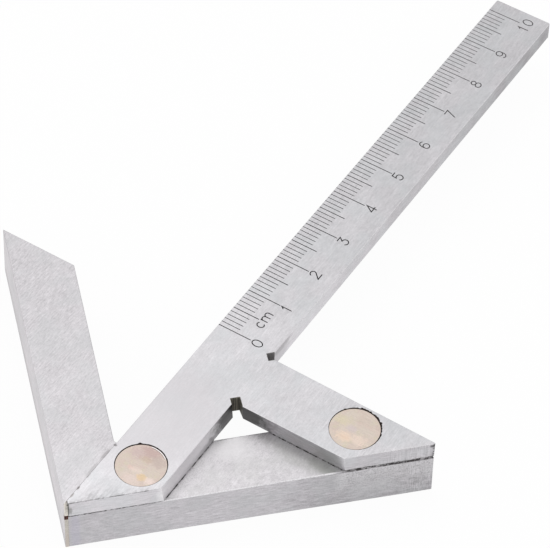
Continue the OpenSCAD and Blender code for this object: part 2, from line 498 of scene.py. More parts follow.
bladeSteel = groundSteel({
    **steelLook, "name": "bladeSteel", "top": (210, 208, 211), "side": (216, 213, 217), "coolTint": (201, 207, 209),
    "grain": 0.24, "topDash": 1.3, "dashes": (0.14, 0.08), "speckle": 0.06, "scratches": 0.08, "hatch": (39, 42, 0.14),
    "sideTones": [("X", 1, 4, 0.1), ("X", 6, 10, -0.1), ("X", 28, 42, -0.18), ("Y", -22, 66, -0.38),
                  ("Y", 10, 66, -0.09)],
    "roughness": (0.32, 0.42), "depth": 0.004, "dirtAndShadeColour": (58, 54, 56),
    "patches": [((0.3, -75.4, 10.3), (0.36, 0.36, 1.2), 0.45, (104, 106, 96), True),
               ((-0.03, -75.75, 10.9), (0.3, 0.3, 2.3), 0.9, (112, 114, 108), True),
               # painted light on the foot's side away from the notch
               ((11.8, -56.5, 10.7), (1.1, 13, 6), 0.85, (247, 245, 247), True),
               # painted shade in the inner notch's corner and along the arm's lower side
               ((11.7, -40.9, 10.7), (1, 8.4, 6), 1, (70, 68, 69), True),
               ((13, -40.9, 10.7), (8.6, 1.2, 6), 1, (64, 62, 63), True),
               ((22, -40.9, 10.2), (14, 1, 6), 0.16, (112, 112, 108), True),
               ((32.5, -40.9, 10.2), (4, 1.2, 6), 0.08, (104, 103, 102), True),
               # darker on the rule's side beside the outer slot's corner
               ((11.7, -26.5, 10.7), (1, 5, 6), 0.5, (180, 177, 181), True),
               ((11.7, -24.6, 12.1), (1, 4, 1.3), 0.6, (158, 155, 158), True),
               # painted shade along the foot of the foot's side, deepest towards the notch
               ((11.8, -50.5, 9.1), (1.1, 13, 1.5), 0.22, (112, 110, 113), True),
               ((11.8, -46.5, 9.2), (1.1, 7, 1.6), 0.28, (84, 82, 84), True),
               ((46.5, -29.6, 12.1), (0.75, 0.75, 0.5), 0.8, (66, 64, 66), True),
               ((3.5, -51, topZ), (13, 17, 2), 0.6, (203, 200, 203), False)] + seamDashes,
})
stockLook = {
    **steelLook, "name": "stockSteel", "top": (201, 198, 201), "side": (201, 198, 202), "coolTint": (193, 196, 197),
    "grain": 0.28, "topDash": 1.5, "dashes": (0.2, 0.16), "speckle": 0.09, "hatch": (42, 44, 0.16),
    "sideTones": [("X", -1, -3, 0.06), ("X", 10, 20, 0.04), ("X", 25, 36, -0.33), ("X", 4, 1, -0.04)],
    "roughness": (0.34, 0.44), "depth": 0.005, "dirtAndShadeColour": (66, 62, 63),
    "patches": [((0.9, -75.0, 4), (1.1, 1.1, 9), 0.3, (190, 186, 206), True),
               ((-0.6, -76.2, 8.6), (0.6, 0.6, 0.9), 0.95, (112, 78, 74), True)] + seamDashes,
}
stockSteel = groundSteel(stockLook)
leftSteel = groundSteel({  # the left leg's sides are as pale as its top, and darker towards the floor
    **stockLook, "name": "leftSteel", "side": (210, 205, 209),
    "sideTones": [("X", -1, -3, 0.02), ("Z", 3.6, 0.6, -0.26)],
})
recessSteel = groundSteel({  # the rougher ground step that the blade lies in
    **steelLook, "name": "recessSteel", "top": (211, 208, 211), "side": (201, 198, 202), "coolTint": (200, 201, 199),
    "grain": 0.34, "topDash": 0.9, "sideDash": 1.2, "dashes": (0.1, 0.1), "speckle": 0.1, "mottle": 0.09,
    "hatch": (42, 44, 0.1), "roughness": (0.36, 0.46), "depth": 0.006, "metallic": 0.9, "dirtAndShadeColour": (64, 62, 62),
    "broken": (-0.3, 1.6),
    # painted light on the step by the inner notch
    "patches": [((13.5, -46.8, 8.8), (7, 4.5, 3), 0.6, (230, 228, 230), False),
               # painted shade on the step in front of the arm
               ((27.5, -42.3, 8.8), (10, 2.5, 2), 0.38, (170, 172, 166), False),
               ((31.5, -41.8, 8.8), (4.5, 1.8, 2), 0.4, (160, 164, 156), False)],
})
linePaint = darkFill({"name": "linePaint", "dark": (14, 13, 15), "light": (46, 44, 47), "grain": (0.3, 0.3, 0.3),
                      "worn": (0, 75, 1, (98, 95, 97))})
# painted shade on the walls of the relief slots, lighter at the outer slot
slotShade = darkFill({"name": "slotShade", "dark": (22, 21, 18), "light": (138, 133, 121), "grain": (0.3, 0.3, 4),
                      "worn": (-38, -32, 0.5, (138, 136, 141))})
# painted shade with dirt in the gaps round the rivet heads
gapShadeAndDirt = darkFill({"name": "gapShadeAndDirt", "dark": (30, 27, 27), "light": (92, 80, 76), "grain": (0.3, 0.3, 0.3)})


rivetGrain = {  # size of each pattern's grain along X, Y and Z
    "pink": (1.6, 2.2, 1.6),
    "straw": (1.1, 1.1, 1.1),
    "scratches": (2.2, 0.16, 0.16),
    "speckle": (0.28, 0.28, 0.28),
    "patchFray": (0.7, 0.7, 0.7),
}
brass = {
    "strawShare": 0.8,
    "fray": 0.35,  # how far a stain's border moves, as a share of its reach
    "speckle": 0.05,
    "scratchTone": (0.91, 1.06),
    "roughness": (0.34, 0.5),
    "depth": 0.005,
    "lipShadow": (96, 84, 78),
    "lipLight": (236, 232, 232),
}


# Rivet metal: a pale brass blotched with pink and straw, fine scratches, and stained spots, each given by its place,
# size, strength and colour. The attribute paints the shadow and the highlight of the head's folded lip.
def rivetMetal(look):
    material, tree, shader = newMaterial(look["name"])
    pink = remap(tree, grainNoise(tree, rivetGrain["pink"]), *noiseRange["pink"])
    straw = remap(tree, grainNoise(tree, rivetGrain["straw"]), *noiseRange["straw"], 0, brass["strawShare"])
    colour = blendColours(tree, straw, blendColours(tree, pink, look["pale"], look["pink"]), look["straw"])
    place = objectPlace(tree)
    fray = swing(tree, grainNoise(tree, rivetGrain["patchFray"]), -brass["fray"], brass["fray"])
    for (x, y), (reachX, reachY), strength, patchColour in look["patches"]:
        share = stainShare(tree, place, (x, y, topZ), (reachX, reachY, 1), strength, fray)
        colour = blendColours(tree, share, colour, patchColour)
    scratches = grainNoise(tree, rivetGrain["scratches"])
    speckle = swing(tree, grainNoise(tree, rivetGrain["speckle"], detail=2), -brass["speckle"], brass["speckle"])
    colour = timesTone(tree, colour, total(tree, swing(tree, scratches, *brass["scratchTone"]), speckle))
    colour = blendColours(tree, wearTimes(tree, 1), colour, brass["lipShadow"])
    colour = blendColours(tree, wearTimes(tree, -0.9), colour, brass["lipLight"])
    finishSurface(tree, shader, colour, swing(tree, scratches, *brass["roughness"]), 1, scratches, brass["depth"])
    return material


# Stock

stock = {
    "legWidth": 11.5,
    "blunt": 0.7,  # the points of right leg and blade stop this short of the outer corner
    "edge": 0.12,  # radius of the worn edges
    "seamEdge": 0.04,  # the same along the seam with the blade
    "jointEdge": 0.2,  # the same along the joint under the foot of the rule
    "endEdge": 0.4,  # the same at the right leg's free end, under the arm
    "cornerRadius": {"seam": 0.06, "vBottom": 0.04, "end": 0.2, "tip": 0.12},  # of the upright corners
    "vBottom": (-0.65, 0.1),  # from the seam's inner end to the left leg's worn inner face
    "tipLean": (1.3, 0.2),  # how far the left leg's end cut reaches out, at the floor and at the top
    "frontLean": 0.46,  # how far the right leg's front reaches out at the floor, at its free end
    "leanFrom": 20,  # where that begins, along the leg
    "leanTo": 7,  # where it is full, before the leg's end
    "wornFrom": 0.6,  # where the front's upper edge begins to widen, as a share of the leg's length
    "seamDirt": 0.5,
    "footDirtAndShadow": 0.9,  # dirt and painted shadow under the foot's front edge
    "underArm": (0.3, 0.55),  # below the joint: where the dirt and painted shade under the arm end, and the painted highlight band below it
    "besideFoot": ((0.1, 0.8), (0.18, 0), (0.45, -0.55), (2.9, 0)),  # dirt and painted shade, then a painted highlight band, on the step this far from the foot's side
    # dirt and painted shade on the step along the arm's side
    "besideArm": 0.9,
    "contactGaps": (-0.1, 0.05, 0.2, 0.45, 3),  # lines of points on the step, this far from the foot's side
    "armGaps": (-0.1, 0.05, 0.2),  # the same, from the arm's side
    "contactSteps": 60,  # points on each of these lines
}
skin = 0.001  # what lies deeper than this is no longer part of a top face
seamReach = 0.3  # points this close to the working edge's line are on the seam
nearFace, nearCorner = 0.25, 0.3  # points this close to a face or a corner of the blade belong to it
edgeBend = 0.3  # how far a rivet's or hole's worn edge is from both faces at its middle, as a share of its radius


def smoothStep(x):  # 3 x squared less 2 x cubed, for x kept from 0 to 1
    x = np.clip(x, 0, 1)
    return x * x * (3 - 2 * x)


def seamWear(x, z):  # dirt in the seam between left leg and blade
    return stock["seamDirt"] * near(x, stock["seamEdge"]) * (z < topZ - skin)


def armDirt(past):  # dirt and painted shade in the gap under the arm's front, by the distance past the arm's corner
    return 1.2 * np.clip(past / 4 + 0.3, 0, 1)


def makeLeftLeg():
    width, length, radius = stock["legWidth"], leftTip * sqrt(2), stock["cornerRadius"]
    corners = legPoint([0, width, length - width, length], np.array([0, width, width, 0]), -1)
    corners = np.insert(corners, 2, corners[1] + stock["vBottom"], 0)
    radii = [radius[name] for name in ("seam", "vBottom", "seam", "end", "tip")]
    outline = roundCorners(corners, np.array(radii)).reshape(-1, 2)
    onSeam = np.abs(outline[:, 0] - corner[0]) < seamReach
    edge = np.where(onSeam, stock["seamEdge"], stock["edge"])
    shell = Shell()
    addPlate(shell, outline, 0, topZ, edge, edge)
    tipY = high["left_leg"][1] - corner[1]

    def leanTip(x, y, z):  # the points of the end cut move along the leg, further the lower they are
        reach = np.interp(z, [0, topZ], stock["tipLean"]) * (y > tipY - 0.6)
        return reach[:, None] * np.array([-1, 1]) / sqrt(2)

    shell.lean(leanTip)
    shell.finish("leftLeg", ["left_leg"], "stock_steel", [leftSteel], lambda p: seamWear(p[:, 0] - corner[0], p[:, 2]))


# Points of a line that lie on the step, clear of its worn edges
def onStep(line):
    behind = inLeg(line)[1]
    return line[(behind > 0.5) & (behind < stock["legWidth"] - 0.3)]


rivets = {
    "headRadius": 4.62,
    "headRim": 0.5,
    "shankRadius": 3,
    "footRadius": 4.2,
    "footRim": 0.4,
    "play": 0.06,  # gap between the rivets and the walls of their holes
    "gap": 0.1,  # open ring round each head
    "edge": 0.05,
    "sides": 144,  # points round each head
    "settled": {"corner_rivet": (0.04, -0.075), "arm_rivet": (-0.02, -0.08)},  # how far each sits off its hole's middle
    "ragged": {"corner_rivet": 0.04, "arm_rivet": 0.2},  # how far the hole's rim is torn at its far side
    "raggedTowards": 75,  # where that side is, in degrees
    "notch": {"corner_rivet": (126, 0.3), "arm_rivet": (64, 0.25)},  # the deepest tear: its angle and depth
    "notchHalf": 6,  # how far it spreads to either side, in degrees
    "lip": {"corner_rivet": (52, 98), "arm_rivet": (0, 0)},  # angles between which the head's lip is folded over
    "lipRadius": (4.26, 4.34, 4.42),  # where the lip's painted shadow arc starts, is darkest and ends
}
rivetAt = {name: ((low[name] + high[name]) / 2)[:2] for name in ("corner_rivet", "arm_rivet")}


def makeRightLeg():
    width, length, blunt, radius = stock["legWidth"], armTop * sqrt(2), stock["blunt"], stock["cornerRadius"]
    corners = legPoint([blunt, length, length - width, width, blunt], np.array([0, 0, width, width, blunt]))
    radii = [radius[name] for name in ("seam", "end", "end", "tip", "seam")]
    arcs = roundCorners(corners, np.array(radii)).reshape(-1, 2)
    # more points along the front face, where its upper edge is worn down towards the free end
    foot, arm = blade["ruleWidth"] * sqrt(2), (armTop - blade["armWidth"]) * sqrt(2)
    steps = np.concatenate([np.linspace(1.5, foot + 1, 12), np.linspace(length * 0.5, length - 2, 16)])
    firstArc = len(arcs) // len(corners)
    outline = np.concatenate([arcs[:firstArc], legPoint(steps, 0), arcs[firstArc:]])
    along, behind = inLeg(outline)
    front = behind < 2
    worn = smoothStep((along / length - stock["wornFrom"]) / (1 - stock["wornFrom"])) * front
    upper = np.where(front, stock["jointEdge"], stock["edge"])
    upper = upper + (stock["endEdge"] - upper) * worn
    shell, r = Shell(), rivets
    holes, topHoles = [], []
    for at in rivetAt.values():
        closing, shank = r["footRadius"] + r["play"], r["shankRadius"] + r["play"]
        cone = closing - shank
        rim = r["footRim"]
        shell.addRows(turnProfile([(closing, 0), (closing, rim), (shank, rim + cone), (shank, bedZ)], at), turn=-1)
        holes.append(circle(at, closing))
        topHoles.append(circle(at, shank))

    def faceKind(middles, kinds):  # the step itself is ground rougher
        return np.where(middles[:, 2] > bedZ - skin, 1, kinds)

    # lines of points on the step, beside the foot's side and the arm's side
    side = blade["ruleWidth"] + blade["footLean"]
    under = armTop - blade["armWidth"] + blade["armLean"]
    steps = np.linspace(0.3, under - side - 0.3, stock["contactSteps"])
    lines = [onStep(fromCorner(side + gap, side + steps)) for gap in stock["contactGaps"]]
    lines += [onStep(fromCorner(side + steps, under - gap)) for gap in stock["armGaps"]]
    addPlate(shell, outline, 0, bedZ, stock["edge"], upper, holes, topHoles, lines, faceKind=faceKind)

    def leanFront(x, y, z):  # the front face reaches out towards the floor and the free end
        reach = np.interp((x + y) / sqrt(2), [stock["leanFrom"], length - stock["leanTo"]], [0, stock["frontLean"]])
        return (reach * (1 - z / bedZ) * (y - x < 0.4))[:, None] * np.array([1, -1]) / sqrt(2)

    shell.lean(leanFront)

    # Dirt and painted shadow under the blade's front edges, fading towards the foot's right corner, and a painted
    # highlight on the edge between them that goes on under the arm, a little below the joint. On the step, dirt and
    # painted shade lie along the foot's side and the arm's, with a painted highlight band beside the foot's.
    def wear(p):
        (x, y), z = (p[:, :2] - corner).T, p[:, 2]
        along, behind = inLeg(p)
        isFront = behind < stock["endEdge"] * 1.1
        below, joint, (dirtAndShadeEnd, highlightEnd) = bedZ - z, stock["jointEdge"], stock["underArm"]
        underFoot = along < foot + 0.4
        dirtAndShade = underFoot * (stock["footDirtAndShadow"] - 0.3 * along / foot) * (below < joint * 0.95)
        dirtAndShade = np.maximum(dirtAndShade, armDirt(along - arm) * (along > arm) * (below < dirtAndShadeEnd))
        edgeHighlight = ~underFoot * (below < joint * 0.9) * (below > skin)
        edgeHighlight = np.where(along > arm, 0.4 * (below > dirtAndShadeEnd) * (below < highlightEnd), edgeHighlight)
        beside = np.interp(x - side, *np.array(stock["besideFoot"]).T)
        beside = np.where(np.abs(y - under) < 0.15, stock["besideArm"], beside)
        contact = beside * (below < skin) * (behind > 0.45)
        return np.where(contact != 0, contact, isFront * np.where(dirtAndShade > 0, dirtAndShade, -edgeHighlight))

    shell.finish("rightLeg", ["right_leg"], "stock_steel", [stockSteel, recessSteel], wear)


# Blade

blade = {
    "ruleWidth": 12.2,
    "armWidth": 12,
    "edge": 0.1,  # radius of the worn edges
    "lowerEdge": 0.13,
    "armLowerEdge": 0.42,  # under the arm's front
    "farEdge": 0.16,  # the rule's top edge away from the scale
    "cornerRadius": {"plain": 0.12, "slot": 0.05, "tip": 0.2, "end": 0.3, "seam": 0.06},  # of the upright corners
    "slotShift": 0.5,  # how far each relief slot's middle line lies from the corner that it clears
    "innerSlot": (0.9, 1.7),  # how far the slot cuts past its corner, and its width
    "outerSlot": (0.2, 1.62),
    # how dark each place turns: dirt, with painted shade in the joint under the foot and at the feet of the notch's
    # walls
    "dirtAndShade": {"point": 1.2, "underFoot": 0.8, "footEdge": 0.9, "walls": 1.2, "tip": 1.3},
    # painted highlights on the arm's front edges, its corner and the rule's far top edge
    "paintedHighlights": {"armEdge": 0.7, "armCorner": 0.3, "farEdge": 0.75},
    "armRise": 0.42,  # how much higher the arm's far edge is at its slot than at its tip
    "footLean": 0.26,  # how far the foot's side stands out at the step
    "armLean": 0.3,  # how far the arm's side stands back at the step
}
scale = {
    "innerCornerToZero": 33,
    "division": 1,
    "lines": 100,
    "long": 7.0,
    "middle": 5.6,
    "short": 4.1,
    "lineWidth": 0.14,
    "fifthWidth": 0.175,  # width of every fifth line
    "strokeWidth": 0.21,  # the same of the numerals and letters
    "lineDepth": 0.08,
    "numeralFoot": 9.42,  # distance of the numerals' foot from the working edge
    "numeralHeight": 2.08,
    "numeralHalf": 0.7,  # half of a numeral's width
    "pairShifts": (-1.05, 0.95),  # how far the two numerals of 10 are off its line
    "unitSize": 0.93,
    "unitAt": (3.5, 7.2),  # where the unit's letters start, past zero and from the working edge
}


# The four corners of a relief slot, from one side of the corner that it clears to the other.
def slotCorners(cornerY, depth, width, turn):
    nearSide = blade["slotShift"] - width / 2
    farSide = nearSide + width
    local = np.array([[-nearSide, nearSide], [-depth, nearSide], [-depth, farSide], [farSide, farSide]])
    x = np.array([np.cos(turn), np.sin(turn)])
    return corner + [blade["ruleWidth"], cornerY] + local[:, :1] * x + local[:, 1:] * leftOf(x)


# An arc of an ellipse from one angle to the other, in degrees.
def arc(cx, cy, rx, ry, start, end, count=14):
    angle = np.radians(np.linspace(start, end, count))
    return np.column_stack([cx + rx * np.cos(angle), cy + ry * np.sin(angle)])


# Strokes of the numerals, centred on x = 0 and standing on y = 0, and of the unit's letters, from x = 0
def numeralStrokes():
    h, a = scale["numeralHeight"], scale["numeralHalf"]
    low, line = 0.31 * h, np.array
    six = [arc(0, low, 0.62, low, 180, 540, 24),
           np.concatenate([[[-0.62, low]], arc(0.04, 0.58 * h, 0.66, 0.42 * h, 180, 48)])]
    return {
        "0": [arc(0, h / 2, a, h / 2, 90, 450, 30)],
        "1": [line([[-0.38, h - 0.5], [0, h], [0, 0]])],
        "2": [np.concatenate([arc(0, h - 0.57, 0.58, 0.57, 165, -32), [[-a, 0], [a, 0]]])],
        "3": [np.concatenate([[[-0.56, h], [0.54, h], [-0.1, 0.62 * h]], arc(-0.04, low, 0.64, low, 75, -158)])],
        "4": [line([[0.28, 0], [0.28, h], [-a, 0.27 * h], [a, 0.27 * h]])],
        "5": [np.concatenate([[[0.52, h], [-0.46, h], [-0.54, 0.56 * h]],
                              arc(-0.02, 0.33 * h, 0.64, 0.33 * h, 126, -154)])],
        "6": six,
        "7": [line([[-0.58, h], [0.62, h], [-0.22, 0]])],
        "8": [arc(0, 0.27 * h, 0.64, 0.27 * h, 90, 450, 24), arc(0, 0.77 * h, 0.5, 0.23 * h, -90, 270, 24)],
        "9": [[0, h] - stroke for stroke in six],
        "c": [arc(0.62, 0.76, 0.62, 0.76, 48, 312, 20)],
        "m": [line([[1.86, 0], [1.86, 1.5]])] + [
            np.concatenate([arc(x, 0.98, 0.54, 0.52, 165, 0, 9), [[x + 0.54, 0]]]) for x in (2.42, 3.52)],
    }


# Places on the rule: past the zero line and from the working edge
def rulePoint(past, across):
    return fromCorner(across, stock["legWidth"] * sqrt(2) + scale["innerCornerToZero"] + np.asarray(past))


# The scale's lines and the strokes of its figures, as chains of points on the rule
def scaleStrokes():
    count = np.arange(scale["lines"] + 1)
    length = np.where(count % 10 == 0, scale["long"], np.where(count % 5 == 0, scale["middle"], scale["short"]))
    marks = count * scale["division"]
    half = np.where(count % 5 == 0, scale["fifthWidth"], scale["lineWidth"]) / 2
    glyphs, figures = numeralStrokes(), []
    foot = scale["numeralFoot"]
    for number in range(11):
        digits = str(number)
        for digit, shift in zip(digits, [0] if len(digits) == 1 else scale["pairShifts"]):
            figures += [rulePoint(number * 10 + shift + s[:, 0], foot - s[:, 1]) for s in glyphs[digit]]
    (past, across), size = scale["unitAt"], scale["unitSize"]
    figures += [rulePoint(past + s[:, 0] * size, across - s[:, 1] * size) for letter in "cm" for s in glyphs[letter]]
    return marks, length, half, figures


# Both rims of a stroke and its two pointed ends, as one closed chain: each point moves aside along the bisector of
# the chain's neighbouring parts.
def strokeRim(chain, half):
    step = unit(np.diff(chain, axis=0))
    before = leftOf(np.concatenate([step[:1], step]))
    after = leftOf(np.concatenate([step, step[-1:]]))
    aside = (before + after) * (half / (1 + np.sum(before * after, 1)))[:, None]
    start, end = chain[:1] - step[:1] * half, chain[-1:] + step[-1:] * half
    return np.concatenate([start, chain + aside, end, (chain - aside)[::-1], start])


# A torn rim: the sum of eight waves round the hole, cut off below zero and strongest towards one side, and one notch.
def tornRim(node, spoke):
    angle = np.arctan2(spoke[:, 1], spoke[:, 0])
    waves = np.arange(7, 50, 6)[:, None]
    tear = np.sum(np.sin(waves * angle + waves ** 2 * 1.7), 0) / 3.5
    side = np.clip(0.1 + np.cos(angle - radians(rivets["raggedTowards"])), 0, 1)
    at, depth = rivets["notch"][node]
    notch = depth * near(np.degrees(angle) - at, rivets["notchHalf"])
    return np.maximum(rivets["ragged"][node] * np.clip(0.5 + tear, 0, 1.5) * side, notch)


def makeBlade():
    b, strokeHalf, width = blade, scale["strokeWidth"] / 2, blade["ruleWidth"]
    armBottom = armTop - b["armWidth"]
    blunt = stock["blunt"] / sqrt(2)
    corners = np.concatenate([
        corner + [[blunt, blunt], [width, width]],
        slotCorners(armBottom, *b["innerSlot"], -pi / 4),
        corner + [[armBottom, armBottom], [armTop, armTop]],
        slotCorners(armTop, *b["outerSlot"], pi / 4),
        corner + [[width, ruleEnd], [0, ruleEnd], [0, 2 * blunt]],
    ])
    corners[8] += b["armRise"]
    slot = ("plain", "slot", "slot", "plain")
    radii = [b["cornerRadius"][name] for name in ("plain", "plain", *slot, "plain", "tip", *slot, "end", "end", "seam")]
    arcs = roundCorners(corners, np.array(radii))
    marks, length, half, figures = scaleStrokes()
    stations = rulePoint((marks[:, None] + half[:, None] * [-1, 0, 1]).reshape(-1)[::-1], 0)
    joint = corner + [0, stock["legWidth"] * sqrt(2)]
    # places along the walls where their dirt, painted shade and painted highlights change, each after the corner that
    # it follows
    footStops, sideStops = np.linspace(1, width - 0.6, 10), np.linspace(width + 1, armBottom - 1.6, 14)
    armStops = np.append(np.linspace(width + 2, armBottom - 1, 13), armBottom - 0.45)
    endStops = np.concatenate([[armBottom + 0.35], np.linspace(armBottom + 1, armTop - 0.8, 9), [armTop - 0.6]])
    stops = {
        0: fromCorner(footStops, footStops),
        1: fromCorner(width, sideStops),
        5: fromCorner(armStops, armBottom),
        6: fromCorner(endStops, endStops),
        7: corners[7:8] + 0.02 * (corners[8:9] - corners[7:8]),
        13: np.concatenate([stations, joint + [[0, 0.4], [0, -0.4]]]),
    }
    inSlot = (2, 3, 4, 8, 9, 10)  # corners whose arcs are walls of the relief slots
    parts, wallKind = [], []
    for index, row in enumerate(arcs):
        parts += [row, stops.get(index, row[:0])]
        wallKind += [int(index in inSlot)] * len(row) + [0] * len(parts[-1])
    outline, wallKind = np.concatenate(parts), np.array(wallKind)
    onSeam = (np.abs(outline[:, 0] - corner[0]) < seamReach) & (outline[:, 1] < joint[1])
    edge = np.where(onSeam, stock["seamEdge"], b["edge"])
    farSide = (outline[:, 0] > corner[0] + width - 0.5) & (outline[:, 1] > corner[1] + armTop + 0.8)
    edge = np.where(farSide & (wallKind == 0), b["farEdge"], edge)

    # the lines, from outside the working edge inwards, and all strokes as segments
    heads, tails = rulePoint(marks, -1), rulePoint(marks, length - half)
    segments = np.concatenate([np.stack([heads, tails], 1)] + [np.stack([c[:-1], c[1:]], 1) for c in figures])
    reach = np.append(half, np.full(len(segments) - len(marks), strokeHalf))
    depth = scale["lineDepth"]

    def topHeight(points):  # a V-shaped cut: the depth falls evenly from the middle of a stroke to its rims
        return topZ - depth * np.clip(1 - segmentDistance(points, segments, reach), 0, 1)

    def faceKind(middles, kinds):  # what lies in a stroke is painted
        cut = (segmentDistance(middles[:, :2], segments, reach) < 0.98) & (middles[:, 2] > topZ - depth * 1.5)
        return np.where(cut, 2, kinds)

    ringX = corner[0] + b["edge"]  # every line begins where the worn edge ends
    lines = []
    for mark, end, h in zip(marks, length, half):
        rim = rulePoint([h, h, 0, -h, -h], [0, end - h, end, end - h, 0]) + [0, mark]
        middle = rulePoint([0, 0], [0, end - h]) + [0, mark]
        rim[[0, -1], 0] = middle[0, 0] = ringX
        lines += [rim, middle]
    for chain in figures:
        lines += [strokeRim(chain, strokeHalf), chain]

    shell, r = Shell(), rivets
    holes, topHoles, bend = [], [], edgeBend * r["edge"]
    for name, at in rivetAt.items():
        head, shank = r["headRadius"] + r["gap"], r["shankRadius"] + r["play"]
        seat = topZ - r["headRim"] - r["play"]
        cone = head - shank
        rows = turnProfile([(shank, bedZ), (shank, seat - cone), (head, seat), (head, topZ - r["edge"]),
                            (head + bend, topZ - bend), (head + r["edge"], topZ)], at, r["sides"])
        spoke = rows[0, :, :2] - at
        rows[3:, :, :2] += unit(spoke) * tornRim(name, spoke)[:, None]
        # the hole's walls take painted shade with dirt; the rim's edge is clean steel towards the foot of the picture,
        # and takes the same painted shade with dirt on its far side
        kinds = np.full((5, r["sides"]), 3)
        kinds[3:] = np.where(spoke @ np.array([-0.5, 0.87]) > 0, 3, 0)
        shell.addRows(rows, kinds.reshape(-1), -1)
        holes.append(rows[0, :, :2])
        topHoles.append(rows[-1, :, :2])
    underArm = (inLeg(outline)[1] < 0.3) & (outline[:, 1] - corner[1] > armBottom - 0.2)
    lowerEdge = np.where(onSeam, stock["seamEdge"], np.where(underArm, b["armLowerEdge"], b["lowerEdge"]))
    addPlate(shell, outline, bedZ, topZ, lowerEdge, edge, holes, topHoles, lines, topHeight, wallKind, faceKind)

    # The sides of foot and arm lean, further the lower the point; at their front corners the points move along the
    # front face.
    def leanSides(x, y, z):
        share = np.clip((topZ - z) / (topZ - bedZ), 0, 1)
        onFoot = (np.abs(x - width) < nearFace) * (y > width - nearCorner) * (y < armBottom - nearCorner)
        onArm = (np.abs(y - armBottom) < nearFace) * (x > width + b["innerSlot"][1]) * (x < armBottom + nearCorner)
        foot, arm = share * b["footLean"] * onFoot, share * b["armLean"] * onArm
        atFront = y - x < nearCorner
        return np.column_stack([foot + arm * atFront, arm + foot * atFront])

    shell.lean(leanSides)

    # Dirt in the seam, round the point and at the arm's tip; dirt and painted shade under the edges that stand on the
    # right leg and at the feet of the inner notch's walls, and a thin broken line on the foot's front edge. Painted
    # highlights lie on the arm's front edges, its corner and the rule's far top edge.
    def wear(p):
        x, y, z = (p - [*corner, 0]).T
        along, behind = inLeg(p)
        foot, arm, tip = width * sqrt(2), armBottom * sqrt(2), armTop * sqrt(2)
        up, down = z - bedZ, topZ - z
        base, edged = up < b["lowerEdge"] * 1.05, down > skin
        front, onStock = behind < nearFace, behind > -0.2
        footSide = near(x - width - b["footLean"], 0.3) * onStock * (y < 28.5)
        armSide = near(y - armBottom - b["armLean"], 0.3) * onStock * (x > width - 1.5)
        dark = np.max([
            seamWear(x, z) * (y < joint[1] - corner[1]),
            b["dirtAndShade"]["point"] * near(along - stock["blunt"], 0.15) * front * edged,
            (b["dirtAndShade"]["underFoot"] - 0.3 * along / foot) * base * front * (along < foot + 0.3),
            armDirt(along - arm) * (up < b["armLowerEdge"] * 1.05) * front * (along > arm + 0.1),
            b["dirtAndShade"]["footEdge"] * near(down - b["edge"] * 0.9, b["edge"] * 1.2) * front * (along < foot - 2),
            b["dirtAndShade"]["walls"] * base * np.maximum(footSide, armSide),
            b["dirtAndShade"]["tip"] * near(along - tip + 0.4, 0.4) * (behind < 0.4) * edged,
        ], 0)
        paintedHighlights = np.max([
            b["paintedHighlights"]["armEdge"] * near(down - b["edge"] * 0.3, b["edge"] * 0.7) * front * (along > arm),
            b["paintedHighlights"]["armCorner"] * near(along - arm, nearFace) * (behind < nearCorner) * (up > 0.3),
            b["paintedHighlights"]["farEdge"] * near(x - width, nearFace) * (y > armTop + 1) * (down < b["farEdge"] * 0.9),
        ], 0)
        return np.where(dark > 0.02, dark, -paintedHighlights * edged)

    shell.finish("ruleBlade", ["blade"], "blade_steel", [bladeSteel, slotShade, linePaint, gapShadeAndDirt], wear)


# Rivets: one turned solid each, from the closing head's middle to the head's
def makeRivet(name, node, look):
    r = rivets
    head, shank, foot, e = r["headRadius"], r["shankRadius"], r["footRadius"], r["edge"]
    seat = topZ - r["headRim"]
    profile = [(0.01, 0), (foot - e, 0), (foot, e), (foot, r["footRim"]), (shank, r["footRim"] + foot - shank),
               (shank, seat - head + shank), (head, seat), (head, topZ - e), (head - edgeBend * e, topZ - edgeBend * e),
               *((radius, topZ) for radius in (head - e, *r["lipRadius"][::-1], head * 0.5, 0.01))]
    middle = rivetAt[node] + r["settled"][node]
    rows = turnProfile(profile, middle, r["sides"])
    shell = Shell()
    shell.addRows(rows)
    shell.addEnd(rows[0], -1)
    shell.addEnd(rows[-1], 1)

    # a folded lip, painted: a shadow arc, and a highlight outside it
    def wear(p):
        spoke = p[:, :2] - middle
        angle, radius = np.degrees(np.arctan2(spoke[:, 1], spoke[:, 0])), np.linalg.norm(spoke, axis=1)
        (first, last), (_, darkest, end) = r["lip"][node], r["lipRadius"]
        inLip = (angle > first) & (angle < last) & (p[:, 2] > topZ - skin)
        return inLip * np.where(radius > (darkest + end) / 2, -1, near(radius - darkest, 0.05))

    shell.finish(name, [node], "rivet_metal", [rivetMetal(look)], wear)


# The mitre's outer end: the brazed joint that fills it. A pale strip above and a warm one below, with a rusty pit
# between them.
brazing = {
    "pit": (8.05, 9.15),  # its lower and its upper end
    "pitDepth": 0.3,
    "edge": 0.05,
}
brazeLook = {
    **steelLook, "name": "brazeMetal", "top": (206, 198, 190), "side": (203, 198, 190), "coolTint": (210, 197, 190),
    "tint": 0.4, "grain": 0.25, "topDash": 1, "sideDash": 0.5, "dashes": (0.1, 0.1), "speckle": 0.1, "scratches": 0.04,
    "hatch": (42, 44, 0), "roughness": (0.38, 0.5), "depth": 0.004, "dirtAndShadeColour": (80, 60, 54), "broken": (0.4, 1.1),
}
brazeMetal = groundSteel(brazeLook)
stripMetal = groundSteel({
    **brazeLook, "name": "stripMetal", "top": (226, 220, 214), "side": (240, 234, 226), "coolTint": (232, 224, 216),
    "tint": 0.2, "dashes": (0.05, 0.05), "speckle": 0.06, "mottle": 0.02, "roughness": (0.36, 0.46), "depth": 0.003,
    "dirtAndShadeColour": (60, 56, 52), "broken": (0.6, 1.1),
})
